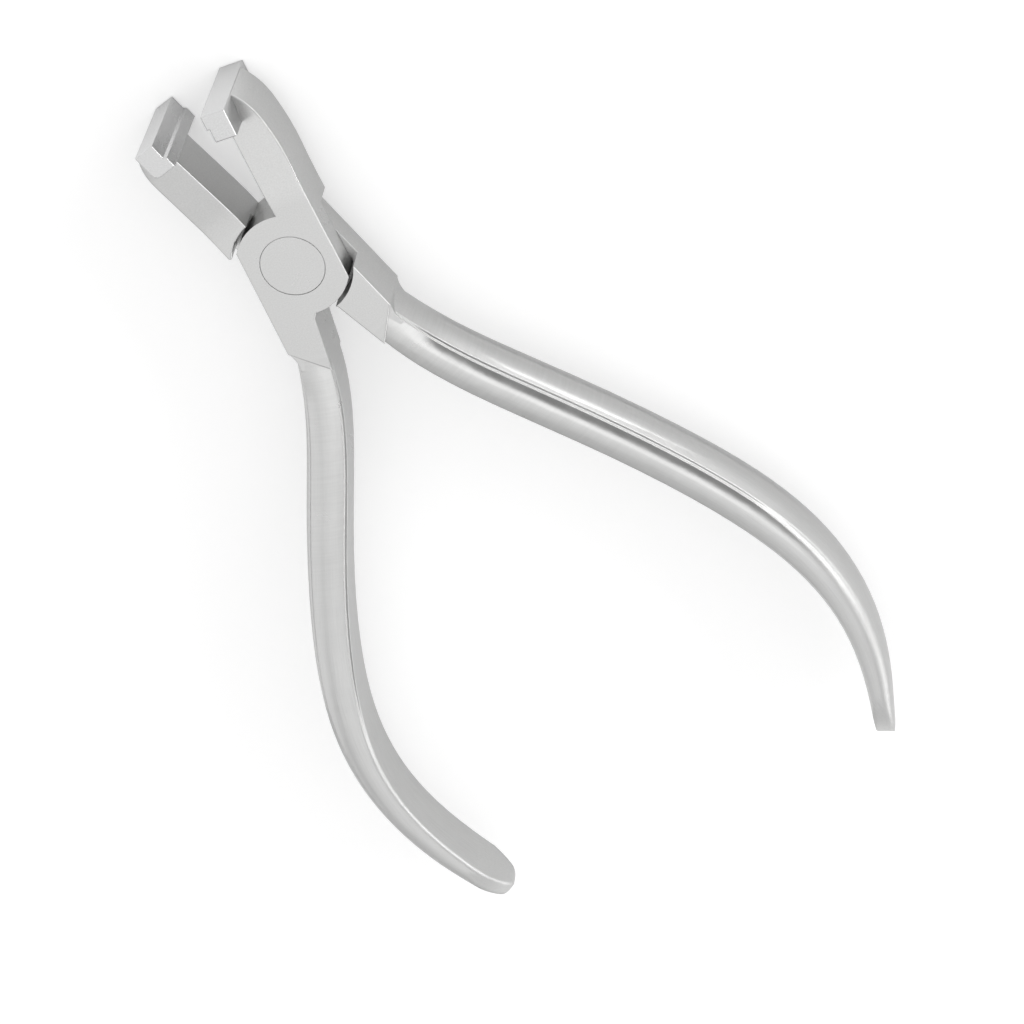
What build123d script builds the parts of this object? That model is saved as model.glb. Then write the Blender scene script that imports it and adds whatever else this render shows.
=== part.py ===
"""Orthodontic step pliers: two crossing steel levers on one flush rivet, with brazed tip inserts.

Millimetres. Z is the pivot axis, +Y points to the jaws and the joint's back face is Z = 0.
Both levers start as the same forged half: right jaw, front lap plate, left handle. A half is drawn
with the jaws closed, where the pliers are symmetric about Y. The rear lever is a half turned over
about Y. Both levers are then swung open by half of the rest opening.
"""
from build123d import *
import os
from math import radians, sqrt, tan

# Lap joint
JOINT_THICKNESS = 8.2
PLATE_RADIUS = 8.0
PLATE_TRIM = 1.2
SHOULDER_GAP = 0.6
LAP_GAP = 0.04
REST_OPENING = 18.0

# Pivot rivet
SHANK_DIAMETER = 5.0
HEAD_DIAMETER = 9.3
HEAD_HEIGHT = 1.8
TAIL_DIAMETER = 7.0
TAIL_HEIGHT = 1.2
RUNNING_CLEARANCE = 0.03
SEAT_CLEARANCE = 0.01
RIM_CHAMFER = 0.08

# Tip inserts, placed from the line on which they meet when closed
GRIP_LINE_X = -1.0
TIP_Y = 26.6
INSERT_LENGTH = 4.25
INSERT_DEPTH = 15.3
INSERT_BACK_Z = -4.3
HOOK_INSERT_THICKNESS = 3.45
LIP_INSERT_THICKNESS = 3.5
STEP_HEIGHT = 0.4
STEP_FROM_TIP = 2.2
STEP_RAMP = 0.3
CLOSED_GAP = 0.1
INSERT_EDGE = 0.12

# Jaw arms
ARM_ROOT_INNER_X = 1.0
HOOK_ARM_INNER_X = 0.12
HOOK_ARM_OUTER_X = 5.35
HOOK_SHOULDER_LENGTH = 5.2
HOOK_DROP = 0.15
LIP_ARM_OUTER_X = 6.2
LIP_SHOULDER_LENGTH = 5.3
LIP_DROP = 0.3
LIP_CORNER_RADIUS = 0.8
BRAZE_GAP = 0.1
ARM_TAPER_X = 6.4
ARM_TAPER_CLEARANCE = 0.6
ARM_BEND_CLEARANCE = 0.6
ARM_BEND_RADIUS = 30.0
ARM_BEND_ANGLE = 7.0
TIP_BEND_RADIUS = 10.0
TIP_BEND_ANGLE = 10.7
ARM_HEEL_RADIUS = 0.3
EDGE_RADIUS = 0.22

# Handle root, measured down from the rim of the plate
CROTCH_X = -0.6
CROTCH_DEPTH = 0.9
ROOT_INNER_X = -1.8
ROOT_INNER_LENGTH = 9.4
ROOT_OUTER_LENGTH = 5.0
ROOT_WAIST = 0.6
ROOT_WAIST_LENGTH = 3.4

# Handle centre line, measured from the bottom of the plate's rim
HANDLE_LINE = [
    (-3.6, -3.5),
    (-4.85, -10.5),
    (-15.15, -35.95),
    (-24.9, -61.95),
    (-27.0, -76.0),
    (-23.25, -93.6),
    (-15.5, -107.3),
]
# Handle sections: share of the line, width, depth, corner cut and the hollow of the flute in it
HANDLE_STATIONS = [
    (0.00, 4.6, 7.4, 0.30, 0.10),
    (0.06, 5.75, 7.7, 0.40, 0.15),
    (0.16, 6.3, 8.1, 0.45, 0.16),
    (0.32, 6.4, 8.4, 0.45, 0.16),
    (0.50, 6.2, 8.7, 0.45, 0.15),
    (0.62, 5.75, 9.0, 0.42, 0.10),
    (0.74, 4.75, 9.2, 0.40, 0.0),
    (0.87, 3.8, 9.2, 0.40, -0.06),
    (1.00, 2.7, 8.8, 0.35, -0.05),
]
OUTER_CROWN = 0.10
FACE_CROWN = 0.042
HANDLE_END_LENGTH = 10.0
HANDLE_END_ROUND = 2.0

# Values that follow from the sizes above
MID_Z = JOINT_THICKNESS / 2
JOINT_HALF_WIDTH = PLATE_RADIUS - PLATE_TRIM
SHOULDER_RADIUS = PLATE_RADIUS + SHOULDER_GAP
RIM_Y = sqrt(PLATE_RADIUS**2 - JOINT_HALF_WIDTH**2)
INSERT_ROOT_Y = TIP_Y - INSERT_LENGTH
STEP_Y = TIP_Y - STEP_FROM_TIP
HOOK_SEAT_X = GRIP_LINE_X + HOOK_INSERT_THICKNESS
LIP_SEAT_X = LIP_INSERT_THICKNESS - GRIP_LINE_X
LIP_ARM_INNER_X = -GRIP_LINE_X - STEP_HEIGHT / 2 + CLOSED_GAP / 2
ARM_BEND_START = SHOULDER_RADIUS + ARM_BEND_CLEARANCE
ARM_BEND_Y = ARM_BEND_START + ARM_BEND_RADIUS * tan(radians(ARM_BEND_ANGLE / 2))
ARM_TAPER_Y = 2 * ARM_BEND_Y - ARM_BEND_START + ARM_TAPER_CLEARANCE
ARM_DROP = (INSERT_ROOT_Y - ARM_BEND_Y) * tan(radians(ARM_BEND_ANGLE))
TIP_DROP = INSERT_LENGTH * tan(radians(TIP_BEND_ANGLE))
HALF_OPENING = REST_OPENING / 2
OVERSIZE = 3 * TIP_Y


def hook_end():
    """Plan of the hooked jaw end: an L-shaped seat under a finger, from the arm's inner edge."""
    seat = Polyline(
        (HOOK_ARM_INNER_X, INSERT_ROOT_Y),
        (HOOK_SEAT_X, INSERT_ROOT_Y),
        (HOOK_SEAT_X, TIP_Y - HOOK_DROP),
    )
    return seat, (HOOK_ARM_OUTER_X, TIP_Y - HOOK_SHOULDER_LENGTH)


def lip_end():
    """Plan of the straight jaw end, drawn as a right jaw: a rebate behind a thin outer lip."""
    seat = FilletPolyline(
        (LIP_ARM_INNER_X, INSERT_ROOT_Y),
        (LIP_SEAT_X, INSERT_ROOT_Y),
        (LIP_SEAT_X, TIP_Y - LIP_DROP),
        radius=LIP_CORNER_RADIUS,
    )
    return seat, (LIP_ARM_OUTER_X, TIP_Y - LIP_SHOULDER_LENGTH)


def half_plan(seat, shoulder_start):
    """Plan of one half: jaw arm, round lap plate and handle root, as one closed outline."""
    rim_top = (ARM_ROOT_INNER_X, sqrt(PLATE_RADIUS**2 - ARM_ROOT_INNER_X**2))
    rim_right = (JOINT_HALF_WIDTH, -RIM_Y)
    rim_bottom = (0, -PLATE_RADIUS)
    rim_left = (-JOINT_HALF_WIDTH, RIM_Y)
    crotch = (CROTCH_X, -PLATE_RADIUS - CROTCH_DEPTH)
    root_inner = (ROOT_INNER_X, -PLATE_RADIUS - ROOT_INNER_LENGTH)
    root_outer = (-JOINT_HALF_WIDTH, -PLATE_RADIUS - ROOT_OUTER_LENGTH)
    side = Line(rim_right, (ARM_TAPER_X, ARM_TAPER_Y))
    taper = TangentArc(side @ 1, shoulder_start, tangent=side % 1)
    outline = [
        Line(rim_top, seat @ 0),
        seat,
        TangentArc(shoulder_start, seat @ 1, tangent=taper % 1),
        taper,
        side,
        RadiusArc(rim_right, rim_bottom, PLATE_RADIUS),
        Polyline(rim_bottom, crotch, root_inner, root_outer, rim_left),
        RadiusArc(rim_left, rim_top, PLATE_RADIUS),
    ]
    return make_face(outline)


def side_profile():
    """Side view of a half: level through the joint, then bent back along the jaw arm."""
    floor = [
        (-OVERSIZE, 0),
        (ARM_BEND_Y, 0),
        (INSERT_ROOT_Y, -ARM_DROP),
        (TIP_Y, -ARM_DROP - TIP_DROP),
    ]
    roof = [(y, z + JOINT_THICKNESS) for y, z in reversed(floor)]
    face = make_face(Polyline(*floor, *roof, close=True))
    for bend_y, radius in ((ARM_BEND_Y, ARM_BEND_RADIUS), (INSERT_ROOT_Y, TIP_BEND_RADIUS)):
        corners = [corner for corner in face.vertices() if abs(corner.X - bend_y) < LAP_GAP]
        face = fillet(corners, radius)
    return face


def bow(start, middle, end):
    """Parabola from start to end that passes through the middle point."""
    pull = 2 * Vector(*middle) - (Vector(*start) + Vector(*end)) / 2
    return Bezier(start, pull, end)


def handle_section(width, depth, cut, hollow):
    """Bar section with three crowned sides, a flat inner side and a flute along each corner."""
    outer = width / 2 - OUTER_CROWN * width
    inner = -width / 2
    face = depth / 2 - FACE_CROWN * width
    side = face - cut
    inset = cut / 2 + hollow / sqrt(2)
    front = bow((outer - cut, face), ((outer + inner) / 2, depth / 2), (inner + cut, face))
    outer_flute = Polyline((outer, side), (outer - inset, face - inset), (outer - cut, face))
    inner_flute = Polyline((inner + cut, face), (inner + inset, face - inset), (inner, side))
    front_half = [outer_flute, front, inner_flute]
    back_half = [mirror(edge, Plane.XZ) for edge in front_half]
    crown = bow((outer, -side), (width / 2, 0), (outer, side))
    return make_face([crown, Line((inner, side), (inner, -side)), *front_half, *back_half])


def end_waste(length, breadth):
    """What is cut away round the last stretch of the handle, in one view, to leave a half oval."""
    oval = Pos(-length) * Ellipse(length, breadth / 2)
    return Rectangle(2 * length, 2 * breadth) - oval


def handle():
    """Curved handle of a half: sections lofted along the centre line, rounded at its end both ways."""
    line = Spline(*[(x, y - PLATE_RADIUS, MID_Z) for x, y in HANDLE_LINE])
    sections = []
    for share, *sizes in HANDLE_STATIONS:
        along = line % share
        outward = Vector(along.Y, -along.X, 0)
        place = Plane(origin=line @ share, x_dir=outward, z_dir=along)
        sections.append(place * handle_section(*sizes))
    width = (HANDLE_STATIONS[-2][1] + HANDLE_STATIONS[-1][1]) / 2
    depth = HANDLE_STATIONS[-2][2]
    from_side = Plane(origin=line @ 1, x_dir=along, z_dir=outward)
    from_front = Plane(origin=line @ 1, x_dir=along, z_dir=(0, 0, 1))
    side_waste = extrude(from_side * end_waste(HANDLE_END_LENGTH, depth), amount=width, both=True)
    front_waste = extrude(from_front * end_waste(HANDLE_END_ROUND, width), amount=depth, both=True)
    return loft(sections) - side_waste - front_waste


def root_web():
    """Concave fill between the root's outer corner and the handle's outer side."""
    corner = (-JOINT_HALF_WIDTH, -PLATE_RADIUS - ROOT_OUTER_LENGTH)
    waist = (corner[0] + ROOT_WAIST, corner[1] - ROOT_WAIST_LENGTH / 2)
    foot = (corner[0] + ROOT_WAIST, corner[1] - ROOT_WAIST_LENGTH)
    axis_x = HANDLE_LINE[0][0]
    hidden = Polyline(foot, (axis_x, foot[1]), (axis_x, corner[1]), corner)
    plan = make_face([ThreePointArc(corner, waist, foot), hidden])
    return Pos(0, 0, MID_Z) * extrude(plan, amount=HANDLE_STATIONS[0][2] / 2, both=True)


def worn_edges(half, seat_x, face):
    """Edges along the arm and the root on one face (1 front, -1 back), off the rims and the seat."""
    worn = []
    for edge in half.edges():
        start, middle, end = edge @ 0, edge @ 0.5, edge @ 1
        reach = [sqrt(point.X**2 + point.Y**2) for point in (start, middle, end)]
        lengthways = abs(end.Y - start.Y) > EDGE_RADIUS
        on_face = face * (middle.Z - MID_Z) > MID_Z / 2 and abs(end.Z - start.Z) < MID_Z
        on_rim = max(reach) - min(reach) < LAP_GAP
        on_seat = middle.Y > INSERT_ROOT_Y and middle.X < seat_x + EDGE_RADIUS
        if lengthways and on_face and not on_rim and not on_seat:
            worn.append(edge)
    return worn


def lever_half(seat, shoulder_start, worn_face):
    """Blank of a half from its plan and its side view, with the lap recess and the handle."""
    plan = extrude(half_plan(seat, shoulder_start), amount=OVERSIZE, both=True)
    side = extrude(Plane.YZ * side_profile(), amount=OVERSIZE, both=True)
    lap = Pos(0, 0, MID_Z + LAP_GAP / 2) * Cylinder(
        SHOULDER_RADIUS, OVERSIZE, align=(Align.CENTER, Align.CENTER, Align.MAX)
    )
    half = (plan & side) - lap
    heel = half.edges().filter_by(Axis.Z).sort_by_distance((JOINT_HALF_WIDTH, RIM_Y, 0))[0]
    half = fillet(heel, ARM_HEEL_RADIUS)
    half = fillet(worn_edges(half, (seat @ 1).X, worn_face), EDGE_RADIUS)
    return half + root_web() + handle()


def rivet_bore(shank_radius, head_radius, head_floor):
    """Through bore with a counterbore from the half's outer face."""
    to_face = (Align.CENTER, Align.CENTER, Align.MIN)
    counterbore = Pos(0, 0, head_floor) * Cylinder(head_radius, OVERSIZE, align=to_face)
    return Cylinder(shank_radius, OVERSIZE) + counterbore


def front_lever():
    """Lever with the hooked right jaw, turning freely on the rivet under its head."""
    bore = rivet_bore(
        SHANK_DIAMETER / 2 + RUNNING_CLEARANCE,
        HEAD_DIAMETER / 2 + RUNNING_CLEARANCE,
        JOINT_THICKNESS - HEAD_HEIGHT - RUNNING_CLEARANCE,
    )
    return lever_half(*hook_end(), worn_face=1) - bore


def rear_lever():
    """Lever with the lipped left jaw: a half turned over about Y, with the rivet's tail set in it."""
    bore = rivet_bore(
        SHANK_DIAMETER / 2 + SEAT_CLEARANCE,
        TAIL_DIAMETER / 2 + SEAT_CLEARANCE,
        JOINT_THICKNESS - TAIL_HEIGHT,
    )
    half = lever_half(*lip_end(), worn_face=-1) - bore
    return Pos(0, 0, JOINT_THICKNESS) * Rot(0, 180, 0) * half


def pivot_rivet():
    """Rivet with a wide flush head in front and a set tail behind."""
    head_floor = JOINT_THICKNESS - HEAD_HEIGHT
    profile = Polyline(
        (0, 0),
        (TAIL_DIAMETER / 2 - RIM_CHAMFER, 0),
        (TAIL_DIAMETER / 2, RIM_CHAMFER),
        (TAIL_DIAMETER / 2, TAIL_HEIGHT),
        (SHANK_DIAMETER / 2, TAIL_HEIGHT),
        (SHANK_DIAMETER / 2, head_floor),
        (HEAD_DIAMETER / 2, head_floor),
        (HEAD_DIAMETER / 2, JOINT_THICKNESS - RIM_CHAMFER),
        (HEAD_DIAMETER / 2 - RIM_CHAMFER, JOINT_THICKNESS),
        (0, JOINT_THICKNESS),
        close=True,
    )
    return revolve(Plane.XZ * make_face(profile), Axis.Z)


def tip_insert(plan):
    """Insert block from its plan, with its two end faces' edges broken."""
    block = Pos(0, 0, INSERT_BACK_Z) * extrude(plan, amount=INSERT_DEPTH)
    ends = block.faces().filter_by(Axis.Z)
    return chamfer(ends.edges(), INSERT_EDGE)


def hook_insert():
    """Right insert: its outer half stands proud of its inner half by the step."""
    raised = GRIP_LINE_X - STEP_HEIGHT / 2 + CLOSED_GAP / 2
    lowered = raised + STEP_HEIGHT
    outline = Polyline(
        (raised, TIP_Y),
        (HOOK_SEAT_X, TIP_Y),
        (HOOK_SEAT_X, INSERT_ROOT_Y),
        (lowered, INSERT_ROOT_Y),
        (lowered, STEP_Y),
        (raised, STEP_Y),
        close=True,
    )
    return tip_insert(make_face(outline))


def lip_insert():
    """Left insert: its inner half is raised to fill the right insert's step, with a sloped riser."""
    lowered = GRIP_LINE_X - STEP_HEIGHT / 2 - CLOSED_GAP / 2
    raised = lowered + STEP_HEIGHT
    riser_top = STEP_Y - CLOSED_GAP
    outline = Polyline(
        (lowered, TIP_Y),
        (-LIP_SEAT_X, TIP_Y),
        (-LIP_SEAT_X, INSERT_ROOT_Y),
        (raised, INSERT_ROOT_Y),
        (raised, riser_top - STEP_RAMP),
        (lowered, riser_top),
        close=True,
    )
    plan = make_face(outline)
    seat_corner = plan.vertices().group_by(Axis.Y)[0].sort_by(Axis.X)[0]
    return tip_insert(fillet(seat_corner, LIP_CORNER_RADIUS + BRAZE_GAP))


open_front = Rot(0, 0, -HALF_OPENING)
open_rear = Rot(0, 0, HALF_OPENING)
nodes = {
    "front_lever": open_front * front_lever(),
    "hook_tip_insert": open_front * hook_insert(),
    "rear_lever": open_rear * rear_lever(),
    "lip_tip_insert": open_rear * lip_insert(),
    "pivot_rivet": pivot_rivet(),
}

os.makedirs("parts", exist_ok=True)
for name, shape in nodes.items():
    export_step(shape, f"parts/{name}.step")
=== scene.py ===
# %% [markdown]
# # Orthodontic step pliers
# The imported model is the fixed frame: all five steel pieces are already in it, at their real size. This lesson
# adds no shapes. It gives the pieces their finish, then lights and photographs them. Blender works in metres.

# %% Load the frame
import bmesh
import bpy
from math import cos, pi, radians, sin
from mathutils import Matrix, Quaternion, Vector


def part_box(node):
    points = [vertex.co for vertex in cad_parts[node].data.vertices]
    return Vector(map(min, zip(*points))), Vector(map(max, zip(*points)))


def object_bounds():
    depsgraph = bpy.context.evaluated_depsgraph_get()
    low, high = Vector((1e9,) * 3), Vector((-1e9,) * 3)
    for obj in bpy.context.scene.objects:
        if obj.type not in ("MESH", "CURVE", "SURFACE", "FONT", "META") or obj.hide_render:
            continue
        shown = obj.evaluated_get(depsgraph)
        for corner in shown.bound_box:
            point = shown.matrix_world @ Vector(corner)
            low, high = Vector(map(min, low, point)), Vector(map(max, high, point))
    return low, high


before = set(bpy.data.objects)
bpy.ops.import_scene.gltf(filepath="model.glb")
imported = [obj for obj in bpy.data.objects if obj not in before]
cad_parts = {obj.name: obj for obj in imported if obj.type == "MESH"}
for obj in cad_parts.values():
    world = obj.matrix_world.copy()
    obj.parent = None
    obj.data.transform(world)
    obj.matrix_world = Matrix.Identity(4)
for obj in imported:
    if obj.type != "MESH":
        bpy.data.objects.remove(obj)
cad_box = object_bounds()
MM = 0.001
scene = bpy.context.scene
bpy.ops.object.select_all(action="DESELECT")
print("nodes:", sorted(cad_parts))
print("box in mm:", [[round(v / MM, 1) for v in corner] for corner in cad_box])

# %% [markdown]
# ## Camera
# The photograph is a close view through a long lens, from in front of the joint and above the right handle. A
# camera could be dragged into place by hand, or aimed by a constraint. Here it is placed by the point it looks
# at, its distance, its direction and its roll, because these are what a photographer sets.

# %% Directions round the pliers


def direction(azimuth, elevation):
    """Unit vector towards a place round the object, by the compass used for views."""
    turn, rise = radians(azimuth), radians(elevation)
    return Vector((sin(turn) * cos(rise), -cos(turn) * cos(rise), sin(rise)))


to_camera = direction(azimuth=138.96, elevation=55.95)
print("towards the camera:", [round(v, 3) for v in to_camera])

# %% Camera
AIM_POINT = Vector((3.7, -51.6, 4.1)) * MM
CAMERA_DISTANCE = 514.8 * MM
CAMERA_ROLL = radians(169.08)
FOCAL_LENGTH = 123.37
SENSOR_WIDTH = 36.0
VIEW_DEPTH = 20.0

camera = bpy.data.objects.new("camera", bpy.data.cameras.new("camera"))
scene.collection.objects.link(camera)
camera.data.sensor_width = SENSOR_WIDTH
camera.data.lens = FOCAL_LENGTH
camera.data.clip_end = VIEW_DEPTH
camera.location = AIM_POINT + CAMERA_DISTANCE * to_camera
camera.rotation_mode = "QUATERNION"
level_view = (-to_camera).to_track_quat("-Z", "Y")
camera.rotation_quaternion = level_view @ Quaternion((0, 0, 1), -CAMERA_ROLL)
scene.camera = camera
scene.view_settings.view_transform = "Standard"
print("camera at mm:", [round(v / MM, 1) for v in camera.location])

# %% [markdown]
# ## Node helpers
# The room, the floor and the steel are all node trees. Built by hand, each would be a page of boxes and wires.
# A few helpers that add a node and give back its output let a tree be written as a row of short sums.

# %% Trees and nodes
WHITE = (1, 1, 1, 1)


def fresh_tree(owner):
    """The owner's node tree, emptied."""
    owner.use_nodes = True
    owner.node_tree.nodes.clear()
    return owner.node_tree


def add_node(tree, kind, **values):
    """A new shader node with its properties, or its inputs by name, set."""
    node = tree.nodes.new(kind)
    for key, value in values.items():
        if hasattr(node, key):
            setattr(node, key, value)
        else:
            node.inputs[key].default_value = value
    return node


def plug(tree, value, socket):
    """Link an output to the socket, or set the socket to a plain number."""
    if isinstance(value, bpy.types.NodeSocket):
        tree.links.new(value, socket)
    else:
        socket.default_value = value


print("helpers for trees:", [f.__name__ for f in (fresh_tree, add_node, plug)])

# %% Node arithmetic


def calc(tree, operation, *values):
    """Output of a Math node on numbers and outputs."""
    node = add_node(tree, "ShaderNodeMath", operation=operation)
    for value, socket in zip(values, node.inputs):
        plug(tree, value, socket)
    return node.outputs[0]


def blend(tree, share, first, second):
    """Output that goes from the first number or output to the second while the share goes from 0 to 1."""
    node = add_node(tree, "ShaderNodeMix", data_type="FLOAT")
    # A Mix node has sockets for every kind of data: 0 is the factor, 2 and 3 take numbers
    plug(tree, share, node.inputs[0])
    plug(tree, first, node.inputs[2])
    plug(tree, second, node.inputs[3])
    return node.outputs[0]


def span(tree, value, low, high, to_low=0.0, to_high=1.0, smooth=False):
    """Output that goes from to_low to to_high while the value goes from low to high."""
    node = add_node(tree, "ShaderNodeMapRange", interpolation_type="SMOOTHSTEP" if smooth else "LINEAR")
    for name, number in (("From Min", low), ("From Max", high), ("To Min", to_low), ("To Max", to_high)):
        plug(tree, number, node.inputs[name])
    plug(tree, value, node.inputs["Value"])
    return node.outputs[0]


print("helpers for sums:", [f.__name__ for f in (calc, blend, span)])

# %% Places on a piece


def object_axes(tree):
    """The place on the piece in its own frame, and the node that splits it into X, Y and Z."""
    place = add_node(tree, "ShaderNodeTexCoord").outputs["Object"]
    axes = add_node(tree, "ShaderNodeSeparateXYZ")
    tree.links.new(place, axes.inputs[0])
    return place, axes


def noise(tree, place, density, detail):
    """Output of a noise of so many cells per metre."""
    node = add_node(tree, "ShaderNodeTexNoise", Scale=density, Detail=detail)
    tree.links.new(place, node.inputs["Vector"])
    return node.outputs["Fac"]


print("helpers for places:", [f.__name__ for f in (object_axes, noise)])

# %% [markdown]
# ## White tent
# Satin steel has hardly a colour of its own: it shows the room. A photographer puts such a tool in a white
# tent, and the tent is never even. It is dark where the lens looks in and along the seam below it, bright
# overhead, and dimmer on the left wall. A picture of a room could be used instead, but a few soft patches by
# direction say what each one is for. The camera itself sees plain white.

# %% Patches of the tent
TENT_LEVEL = 1.0
# Middle of each patch, its level, and the cosines of the angles to its outer and inner edges
TENT_PATCHES = {
    "camera_opening": ((0.52, 0.08, 0.85), 0.20, 0.86, 0.96),
    "overhead_panel": ((-0.02, -0.22, 0.98), 1.55, 0.93, 0.99),
    "left_wall": ((-0.64, -0.60, 0.46), 0.50, 0.90, 0.98),
    "seam_below_camera": ((0.08, -0.68, 0.73), 0.15, 0.96, 0.99),
}


def tent_level(tree, towards):
    """Output with the tent's level in each direction."""
    level = TENT_LEVEL
    for label, (middle, patch_level, outer, inner) in TENT_PATCHES.items():
        facing = add_node(tree, "ShaderNodeVectorMath", operation="DOT_PRODUCT", label=label)
        facing.inputs[1].default_value = Vector(middle).normalized()
        tree.links.new(towards, facing.inputs[0])
        share = span(tree, facing.outputs["Value"], outer, inner, smooth=True)
        level = blend(tree, share, level, patch_level)
    return level


print("tent patches:", list(TENT_PATCHES))

# %% Room
FILL_LEVEL = 0.95
SEEN_LEVEL = 1.0


def white_tent(world):
    """Background by ray: white to the camera, the tent in reflections, a plain fill elsewhere."""
    tree = fresh_tree(world)
    towards = add_node(tree, "ShaderNodeTexCoord").outputs["Generated"]
    path = add_node(tree, "ShaderNodeLightPath")
    reflected = calc(tree, "MAXIMUM", path.outputs["Is Glossy Ray"], path.outputs["Is Transmission Ray"])
    level = blend(tree, reflected, FILL_LEVEL, tent_level(tree, towards))
    level = blend(tree, path.outputs["Is Camera Ray"], level, SEEN_LEVEL)
    background = add_node(tree, "ShaderNodeBackground", Color=WHITE)
    output = add_node(tree, "ShaderNodeOutputWorld")
    tree.links.new(level, background.inputs["Strength"])
    tree.links.new(background.outputs[0], output.inputs["Surface"])


scene.world = bpy.data.worlds.new("white_tent")
white_tent(scene.world)
print("room:", scene.world.name, "nodes:", len(scene.world.node_tree.nodes))

# %% [markdown]
# ## Pale floor
# The pliers lie on a sheet of pale paper just under their lowest point, and the sheet keeps their shadow. More
# light would make it white and would bleach the steel too. A little glow that only some rays see whitens the
# paper for the camera, less so in reflections, and leaves the light on the steel alone. The ends of the inserts
# mirror the floor before the jaws, so there the paper glows brighter in reflections only: painted light that
# brightens those ends.

# %% Floor glow
FLOOR_GLOW = {"Is Camera Ray": 0.31, "Is Glossy Ray": 0.11, "Is Transmission Ray": 0.11}
# Painted light: a band of floor before the jaws that glows only in reflections
JAW_PAINTED_GLOW = 0.22
JAW_PAINTED_GLOW_Y = (24 * MM, 32 * MM)


def floor_glow(tree):
    """Output with the paper's own glow for each kind of ray, and painted light before the jaws that only
    reflections see.
    """
    path = add_node(tree, "ShaderNodeLightPath")
    level = 0.0
    for ray, strength in FLOOR_GLOW.items():
        level = calc(tree, "MULTIPLY_ADD", path.outputs[ray], strength, level)
    _, axes = object_axes(tree)
    # Painted light before the jaws, seen only in reflections
    jaw_reflection_glow = span(tree, axes.outputs["Y"], *JAW_PAINTED_GLOW_Y, 0.0, JAW_PAINTED_GLOW, smooth=True)
    return calc(tree, "MULTIPLY_ADD", path.outputs["Is Glossy Ray"], jaw_reflection_glow, level)


print("floor glow:", FLOOR_GLOW, "and the card's:", JAW_PAINTED_GLOW)

# %% Floor
FLOOR_SIZE = 6.0
FLOOR_COLOUR = (0.80, 0.80, 0.80, 1)
FLOOR_ROUGHNESS = 0.9


def floor_paper():
    """Matt pale paper with its glow."""
    material = bpy.data.materials.new("floor_paper")
    tree = fresh_tree(material)
    paper = add_node(tree, "ShaderNodeBsdfDiffuse", Color=FLOOR_COLOUR, Roughness=FLOOR_ROUGHNESS)
    glow = add_node(tree, "ShaderNodeEmission", Color=WHITE)
    both = add_node(tree, "ShaderNodeAddShader")
    output = add_node(tree, "ShaderNodeOutputMaterial")
    tree.links.new(floor_glow(tree), glow.inputs["Strength"])
    tree.links.new(paper.outputs[0], both.inputs[0])
    tree.links.new(glow.outputs[0], both.inputs[1])
    tree.links.new(both.outputs[0], output.inputs["Surface"])
    return material


bpy.ops.mesh.primitive_plane_add(size=FLOOR_SIZE, location=(0, 0, cad_box[0].z))
floor = bpy.context.object
floor.name = "floor"
floor.data.materials.append(floor_paper())
print("floor at mm:", round(floor.location.z / MM, 2))

# %% [markdown]
# ## Lamps
# Two softboxes give the long highlights: a wide one beside the right handle, and a small low one beyond the
# handle ends. Spot or point lamps would leave hard sparks on satin steel, while an area lamp draws a band as
# wide as itself. Each is written by its brightness beside the tent's, so that its size can change alone.

# %% Softboxes
LAMP_REACH = 0.7


def softbox(name, azimuth, elevation, width, height, radiance):
    """Area lamp on a sphere round the aim point, facing it; radiance 1 is as bright as the tent."""
    lamp = bpy.data.lights.new(name, "AREA")
    lamp.shape = "RECTANGLE"
    lamp.size = width
    lamp.size_y = height
    lamp.energy = radiance * pi * width * height
    holder = bpy.data.objects.new(name, lamp)
    scene.collection.objects.link(holder)
    towards = direction(azimuth, elevation)
    holder.location = AIM_POINT + LAMP_REACH * towards
    holder.rotation_mode = "QUATERNION"
    holder.rotation_quaternion = (-towards).to_track_quat("-Z", "Y")
    print(name, "watts:", round(lamp.energy, 2))


softbox("side_softbox", azimuth=88, elevation=17, width=0.85, height=0.27, radiance=2.4)
softbox("low_softbox", azimuth=26, elevation=14, width=0.35, height=0.22, radiance=1.7)

# %% [markdown]
# ## Middle line of a lever
# The handles are ground on a belt, which leaves fine streaks along the metal. Streaks stretched along one axis
# would cross the curved handles at a slant. The finish therefore needs a coordinate that bends with the lever:
# how far a point lies beside the lever's middle line. That line is measured on the node, by slicing a copy of
# its mesh, so that it stays right if the handle's curve is changed.

# %% Middle line
LINE_SLICES = 16


def middle_line(node):
    """Middle of the node's width in X, as (y, x) points at even steps along Y."""
    low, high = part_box(node)
    points = []
    for step in range(1, LINE_SLICES):
        y = low.y + (high.y - low.y) * step / LINE_SLICES
        cut = bmesh.new()
        cut.from_mesh(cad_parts[node].data)
        geometry = cut.verts[:] + cut.edges[:] + cut.faces[:]
        section = bmesh.ops.bisect_plane(cut, geom=geometry, plane_co=(0, y, 0), plane_no=(0, 1, 0))
        xs = [v.co.x for v in section["geom_cut"] if isinstance(v, bmesh.types.BMVert)]
        points.append((y, (min(xs) + max(xs)) / 2))
        cut.free()
    print(node, "middle line in mm:", [(round(y / MM), round(x / MM, 1)) for y, x in points])
    return points


# Each lever's middle line, and the side in X on which its handle bulges
LEVERS = {
    "front_lever": (middle_line("front_lever"), -1),
    "rear_lever": (middle_line("rear_lever"), 1),
}

# %% Distance beside the middle line


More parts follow.
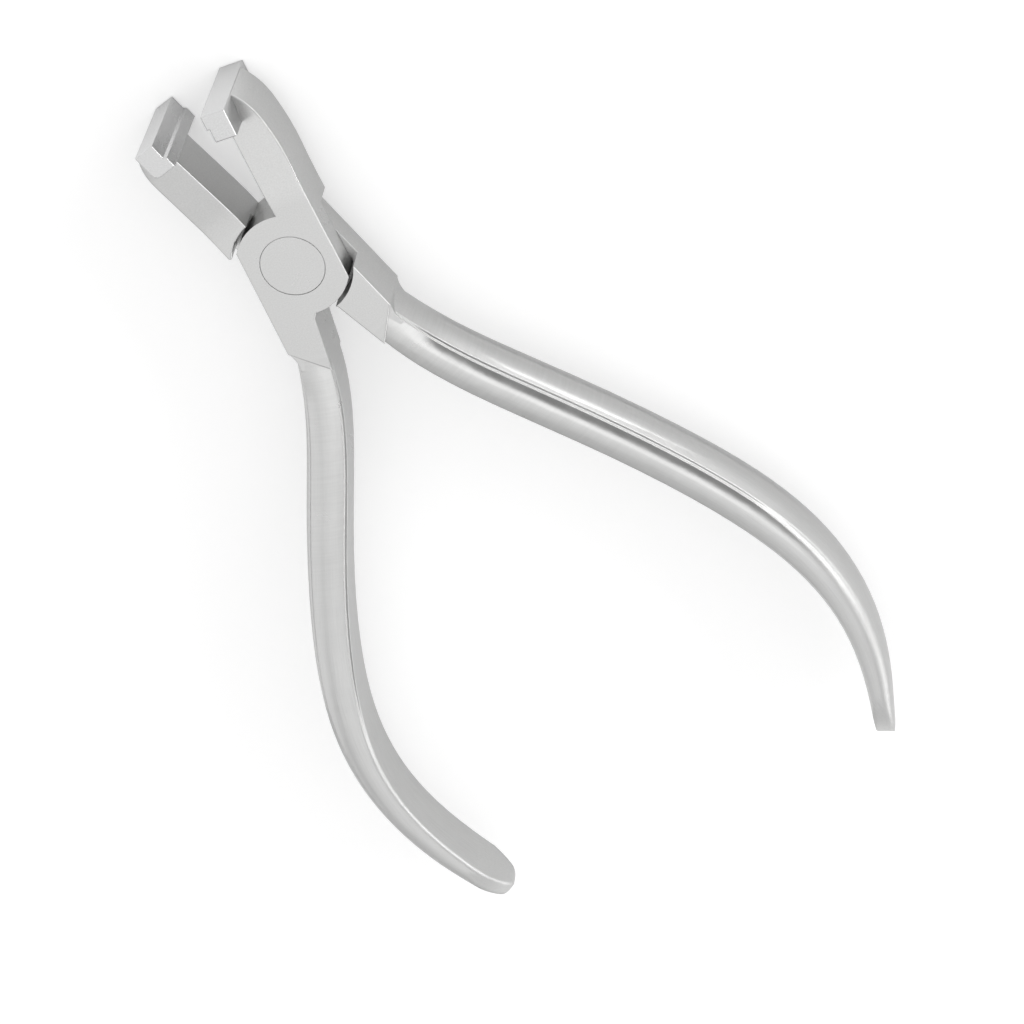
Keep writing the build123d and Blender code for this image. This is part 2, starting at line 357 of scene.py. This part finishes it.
def beside_line(tree, axes, line):
    """Output with the distance in X from the middle line."""
    low_y, high_y = line[0][0], line[-1][0]
    low_x = min(x for _, x in line)
    high_x = max(x for _, x in line)
    bend = add_node(tree, "ShaderNodeFloatCurve")
    curve = bend.mapping.curves[0]
    while len(curve.points) < len(line):
        curve.points.new(0.5, 0.5)
    for point, (y, x) in zip(curve.points, line):
        point.location = ((y - low_y) / (high_y - low_y), (x - low_x) / (high_x - low_x))
    bend.mapping.update()
    tree.links.new(span(tree, axes.outputs["Y"], low_y, high_y), bend.inputs["Value"])
    middle = span(tree, bend.outputs[0], 0.0, 1.0, low_x, high_x)
    return calc(tree, "SUBTRACT", axes.outputs["X"], middle)


print("points on each curve:", {lever: len(line) for lever, (line, _) in LEVERS.items()})

# %% [markdown]
# ## Ground patterns
# The joint, the arms and the inserts are lapped flat, so they have an even grain. The handles have streaks
# along them, and from the root to about the middle there are coarser marks across, where the wheel blended the
# handle into the joint. One noise texture makes all three: plain, drawn out along the middle line, or turned
# and drawn out across it. Soft masks along the lever join them, as there is no line between them in the metal.

# %% Stretches of a lever
HANDLE_Y = (-15 * MM, -21 * MM)
BELT_END_Y = (-84 * MM, -104 * MM)
CROSS_Y = (-66 * MM, -36 * MM, -15 * MM, -12 * MM)


def along_lever(tree, axes, start, full, still_full, end):
    """Output that rises from 0 to 1 between two places along Y, and falls again between two others."""
    rise = span(tree, axes.outputs["Y"], start, full, smooth=True)
    fall = span(tree, axes.outputs["Y"], end, still_full, smooth=True)
    return calc(tree, "MULTIPLY", rise, fall)


print("marks across the handles from mm:", round(CROSS_Y[-1] / MM), "to", round(CROSS_Y[0] / MM))

# %% Grain, streaks and marks
PATTERN_DETAIL = 2.0
GRAIN_DENSITY = 5000.0
STREAK_DENSITY = 7000.0
STREAK_STRETCH = 0.02
CROSS_DENSITY = 2600.0
CROSS_STRETCH = 16.0
CROSS_SLANT = radians(19)


def grain(tree, place):
    """Output of an even, fine grain."""
    return noise(tree, place, GRAIN_DENSITY, PATTERN_DETAIL)


def streaks(tree, axes, beside):
    """Output of streaks that follow the lever's middle line."""
    flow = add_node(tree, "ShaderNodeCombineXYZ")
    tree.links.new(beside, flow.inputs["X"])
    tree.links.new(calc(tree, "MULTIPLY", axes.outputs["Y"], STREAK_STRETCH), flow.inputs["Y"])
    tree.links.new(axes.outputs["Z"], flow.inputs["Z"])
    return noise(tree, flow.outputs[0], STREAK_DENSITY, PATTERN_DETAIL)


def cross_marks(tree, place, outer_side):
    """Output of marks square to the upper half of the handle."""
    turned = add_node(tree, "ShaderNodeMapping", vector_type="TEXTURE")
    turned.inputs["Rotation"].default_value = (0, 0, outer_side * CROSS_SLANT)
    turned.inputs["Scale"].default_value = (CROSS_STRETCH, 1, CROSS_STRETCH)
    tree.links.new(place, turned.inputs["Vector"])
    return noise(tree, turned.outputs[0], CROSS_DENSITY, PATTERN_DETAIL)


print("cells per mm:", [d * MM for d in (GRAIN_DENSITY, STREAK_DENSITY, CROSS_DENSITY)])

# %% Pattern of a lever
STREAK_SHARE = 0.75
CROSS_SHARE = 0.5


def lever_pattern(tree, place, axes, beside, outer_side):
    """Output of grain at the joint and arms, with streaks and marks mixed in on the handle."""
    handle = span(tree, axes.outputs["Y"], *HANDLE_Y, smooth=True)
    upper_half = along_lever(tree, axes, *CROSS_Y)
    pattern = grain(tree, place)
    streaked = calc(tree, "MULTIPLY", handle, STREAK_SHARE)
    pattern = blend(tree, streaked, pattern, streaks(tree, axes, beside))
    marked = calc(tree, "MULTIPLY", upper_half, CROSS_SHARE)
    return blend(tree, marked, pattern, cross_marks(tree, place, outer_side))


print("most of the streaks and marks:", STREAK_SHARE, CROSS_SHARE)

# %% [markdown]
# ## Belted handles
# A slack belt rounds what it grinds: it takes a little more off towards the front and back faces than along
# the middle of the handle's outer side. The solid's crown is shallower than that, and its mesh is the frame, so
# it isn't touched. The finish only leans the shading normal, through a bump whose height falls towards the
# faces. It fades out at the joint and before the tip, where the outline would give it away.

# %% Belted fall
BELT_REACH = 3.3 * MM
BELT_DEPTH = 1.05 * MM
HANDLE_HALF_DEPTH = 4.2 * MM
JOINT_MID_Z = 4.1 * MM


def square(tree, value):
    """Output with the value times itself."""
    return calc(tree, "MULTIPLY", value, value)


def belted_fall(tree, axes, beside, outer_side):
    """Output with how far the belt has taken the handle's outer side back towards its faces."""
    belt = along_lever(tree, axes, *HANDLE_Y, *BELT_END_Y)
    across = span(tree, beside, 0.0, outer_side * BELT_REACH)
    height = calc(tree, "SUBTRACT", axes.outputs["Z"], JOINT_MID_Z)
    height = calc(tree, "DIVIDE", height, HANDLE_HALF_DEPTH)
    fall = calc(tree, "MULTIPLY", square(tree, across), square(tree, height))
    return calc(tree, "MULTIPLY", calc(tree, "MULTIPLY", fall, belt), -BELT_DEPTH)


print("deepest fall in mm:", round(BELT_DEPTH / MM, 2))

# %% [markdown]
# ## Soft edges
# No edge of a used tool is sharp: a thin line of light runs along each. Bevelled meshes would show it, but the
# frame's meshes stay as they are, and the Bevel node rounds the normal at edges instead. Near the tips the belt
# has run right over the handle's outer edges, so the rounding grows there. The inner edges, beside the flat
# inner side, stay a narrow line.

# %% Edges and bumps
EDGE_SAMPLES = 8
EDGE_SOFTNESS = 0.14 * MM


def soft_edges(tree, softness):
    """Output of the normal, rounded at the edges by a number or an output."""
    edge = add_node(tree, "ShaderNodeBevel", samples=EDGE_SAMPLES)
    plug(tree, softness, edge.inputs["Radius"])
    return edge.outputs[0]


def bump(tree, height, normal, strength, distance):
    """Output of the normal, leaned by a height."""
    node = add_node(tree, "ShaderNodeBump", Strength=strength, Distance=distance)
    tree.links.new(height, node.inputs["Height"])
    tree.links.new(normal, node.inputs["Normal"])
    return node.outputs[0]


print("edge softness in mm:", round(EDGE_SOFTNESS / MM, 2))

# %% Worn tips
INNER_TIP_SOFTNESS = 0.9 * MM
OUTER_TIP_SOFTNESS = 2.6 * MM
TIP_BLEND = 1.0 * MM
TIP_Y = (-62 * MM, -92 * MM)


def tip_share(tree, axes):
    """Output that goes from 0 at the middle of a handle to 1 near its tip."""
    return span(tree, axes.outputs["Y"], *TIP_Y, smooth=True)


def lever_softness(tree, axes, beside, outer_side):
    """Output of the edges' softness, which grows towards the tip, most along the outer edges."""
    sides = (-outer_side * TIP_BLEND, outer_side * TIP_BLEND)
    at_tip = span(tree, beside, *sides, INNER_TIP_SOFTNESS, OUTER_TIP_SOFTNESS)
    return blend(tree, tip_share(tree, axes), EDGE_SOFTNESS, at_tip)


print("softness at the tips in mm:", round(INNER_TIP_SOFTNESS / MM, 2), round(OUTER_TIP_SOFTNESS / MM, 2))

# %% [markdown]
# ## Painted shade in crevices
# The gaps round the lap joint are nearly black in the photograph, while the fine line round the rivet's head is
# faint. Light that bounces between satin walls keeps such gaps too pale in a render, so the colour is darkened
# where the Ambient Occlusion node finds walls close by, and hardly at all near the rivet.

# %% Crevice shade
CREVICE_SAMPLES = 8
CREVICE_REACH = 1.1 * MM
CREVICE_OPEN = (0.20, 0.62)
CREVICE_TONE = 0.12
RIM_TONE = 0.9
RIM_REACH = (5.0 * MM, 5.8 * MM)


def painted_crevice_shade(tree, axes):
    """Output with the share of the colour left after painted shade: 1 in the open, less in crevices."""
    # Painted shade: the colour is darkened where walls are close, and least round the rivet's rim
    crevice = add_node(tree, "ShaderNodeAmbientOcclusion", samples=CREVICE_SAMPLES, Distance=CREVICE_REACH)
    opened = span(tree, crevice.outputs["AO"], *CREVICE_OPEN, smooth=True)
    squares = calc(tree, "ADD", square(tree, axes.outputs["X"]), square(tree, axes.outputs["Y"]))
    darkest = span(tree, calc(tree, "SQRT", squares), *RIM_REACH, RIM_TONE, CREVICE_TONE)
    return blend(tree, opened, darkest, 1.0)


print("darkest crevice:", CREVICE_TONE, "rivet's rim:", RIM_TONE)

# %% [markdown]
# ## Satin steel
# The steel is one bare metal with a grey colour and a middling roughness. What makes it look ground is small:
# the pattern shifts the colour by a twentieth, a relief of two hundredths of a millimetre scatters the
# highlights, and slow clouds change the gloss, as where hands have touched it. The tips are the most worn, and
# a little more matt. An even roughness would look like plastic, and stronger streaks like wood.

# %% Colour and gloss
PATTERN_RANGE = (0.30, 0.70)
TONE_SPREAD = 0.05
CLOUD_DENSITY = 160.0
CLOUD_DETAIL = 4.0
GLOSS_SPREAD = 0.03
TIP_MATT = 0.14


def ground_colour(tree, pattern, colour, shade):
    """Output of the colour, shifted by the pattern and darkened by the painted shade."""
    tone = add_node(tree, "ShaderNodeValToRGB")
    levels = (1 - TONE_SPREAD, 1 + TONE_SPREAD)
    for index, (position, level) in enumerate(zip(PATTERN_RANGE, levels)):
        stop = tone.color_ramp.elements[index]
        stop.position = position
        stop.color = (*[c * level for c in colour], 1)
    tree.links.new(pattern, tone.inputs["Fac"])
    shaded = add_node(tree, "ShaderNodeMix", data_type="RGBA", blend_type="MULTIPLY")
    # Its sockets 6 and 7 take colours, and output 2 gives one
    shaded.inputs[0].default_value = 1.0
    tree.links.new(tone.outputs["Color"], shaded.inputs[6])
    tree.links.new(shade, shaded.inputs[7])
    return shaded.outputs[2]


def clouded_roughness(tree, place, axes, roughness):
    """Output of the roughness, a little more or less in slow clouds, and more at the tips."""
    clouds = noise(tree, place, CLOUD_DENSITY, CLOUD_DETAIL)
    clouded = span(tree, clouds, *PATTERN_RANGE, roughness - GLOSS_SPREAD, roughness + GLOSS_SPREAD)
    return calc(tree, "MULTIPLY_ADD", tip_share(tree, axes), TIP_MATT, clouded)


print("clouds per cm:", CLOUD_DENSITY * 10 * MM)

# %% Steel
RELIEF_STRENGTH = 0.15
RELIEF_DEPTH = 0.02 * MM


def steel(name, colour, roughness, line=None, outer_side=0):
    """Ground satin steel; a lever also gives its middle line and the side on which its handle is belted."""
    material = bpy.data.materials.new(name)
    tree = fresh_tree(material)
    place, axes = object_axes(tree)
    if line:
        beside = beside_line(tree, axes, line)
        pattern = lever_pattern(tree, place, axes, beside, outer_side)
        normal = soft_edges(tree, lever_softness(tree, axes, beside, outer_side))
        normal = bump(tree, belted_fall(tree, axes, beside, outer_side), normal, strength=1.0, distance=1.0)
    else:
        pattern = grain(tree, place)
        normal = soft_edges(tree, EDGE_SOFTNESS)
    surface = add_node(tree, "ShaderNodeBsdfPrincipled", Metallic=1.0)
    for source, target in (
        (ground_colour(tree, pattern, colour, painted_crevice_shade(tree, axes)), "Base Color"),
        (clouded_roughness(tree, place, axes, roughness), "Roughness"),
        (bump(tree, pattern, normal, RELIEF_STRENGTH, RELIEF_DEPTH), "Normal"),
    ):
        tree.links.new(source, surface.inputs[target])
    output = add_node(tree, "ShaderNodeOutputMaterial")
    tree.links.new(surface.outputs[0], output.inputs["Surface"])
    print(name, "nodes:", len(tree.nodes))
    return material


def finish_node(node, material):
    """The node's only material becomes this one."""
    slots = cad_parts[node].data.materials
    slots.clear()
    slots.append(material)


# %% [markdown]
# ## Finish every piece
# The two forgings are the same steel, but each needs a material of its own, because its streaks follow its own
# middle line. The rivet was ground flush together with the joint, so it has their colour and gloss. The inserts
# are a harder alloy, a shade lighter and finer ground.

# %% Levers and rivet
LEVER_COLOUR = (0.62, 0.62, 0.615)
LEVER_ROUGHNESS = 0.30

for lever, (line, outer_side) in LEVERS.items():
    finish_node(lever, steel(lever + "_satin", LEVER_COLOUR, LEVER_ROUGHNESS, line, outer_side))
finish_node("pivot_rivet", steel("rivet_ground", LEVER_COLOUR, LEVER_ROUGHNESS))

# %% Inserts
INSERT_COLOUR = (0.65, 0.65, 0.65)
INSERT_ROUGHNESS = 0.26

for insert in ("hook_tip_insert", "lip_tip_insert"):
    finish_node(insert, steel(insert + "_ground", INSERT_COLOUR, INSERT_ROUGHNESS))
